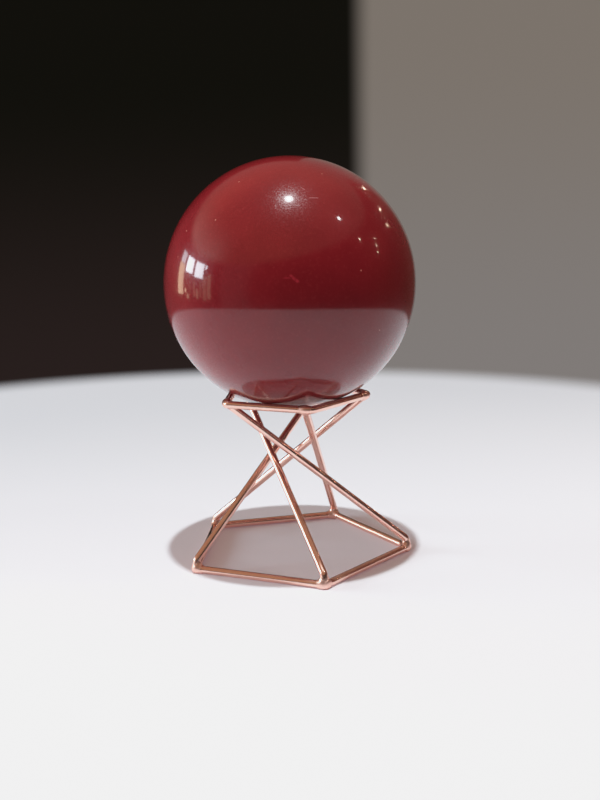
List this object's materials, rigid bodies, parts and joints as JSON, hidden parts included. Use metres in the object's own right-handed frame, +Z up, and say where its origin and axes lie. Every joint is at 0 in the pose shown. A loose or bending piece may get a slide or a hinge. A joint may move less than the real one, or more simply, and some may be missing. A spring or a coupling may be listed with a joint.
{
  "type": "decorative sphere",
  "caption": "Polished dark red stone ball resting on a copper-coloured wire stand of stacked pentagons joined by slanting struts that cross.",
  "frame": {"origin": "centre of the base ring, on the plane that the stand rests on", "axes": "+Z up along the stand's axis through the ball's centre; the reference picture looks along +Y with +X to its right"},
  "size_m": [0.06, 0.06, 0.0971],
  "materials": {
    "ball_stone": "opaque deep red stone, polished to a mirror gloss with a few fine scratches",
    "copper_wire": "bright rose copper plating on drawn wire, softly polished"
  },
  "bodies": {
    "root": {"stone_ball": "ball_stone", "top_ring": "copper_wire", "base_ring": "copper_wire", "strut_1": "copper_wire", "strut_2": "copper_wire", "strut_3": "copper_wire", "strut_4": "copper_wire", "strut_5": "copper_wire"}
  },
  "joints": []
}
